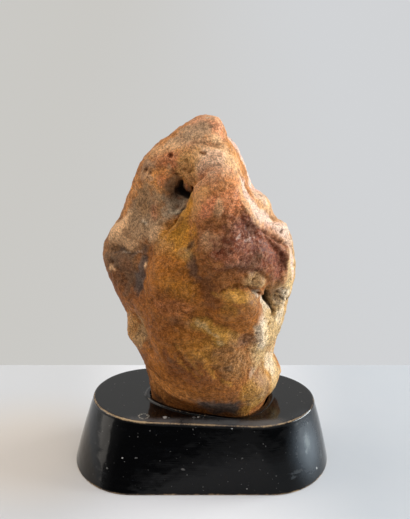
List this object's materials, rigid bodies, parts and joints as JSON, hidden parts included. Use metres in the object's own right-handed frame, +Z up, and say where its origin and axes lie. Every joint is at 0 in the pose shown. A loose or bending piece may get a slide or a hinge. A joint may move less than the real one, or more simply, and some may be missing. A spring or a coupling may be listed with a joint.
{
  "type": "scholar's rock on a stand",
  "caption": "Upright weathered ochre and reddish-brown scholar's rock set in the socket of a low black-lacquered wooden stand with rounded ends; a table-top ornament.",
  "frame": {"origin": "middle of the stand's flat underside, on the surface that the stand rests on", "axes": "+Z up, +X to the right along the stand's length, +Y to the back, away from the side that faces the viewer"},
  "size_m": [0.175, 0.101, 0.2472],
  "materials": {
    "stone": "waxy sheen, finely pitted",
    "lacquered_wood": "glossy black lacquer, worn to brown at the edges"
  },
  "bodies": {
    "root": {"rock": "stone", "stand": "lacquered_wood"}
  },
  "joints": []
}
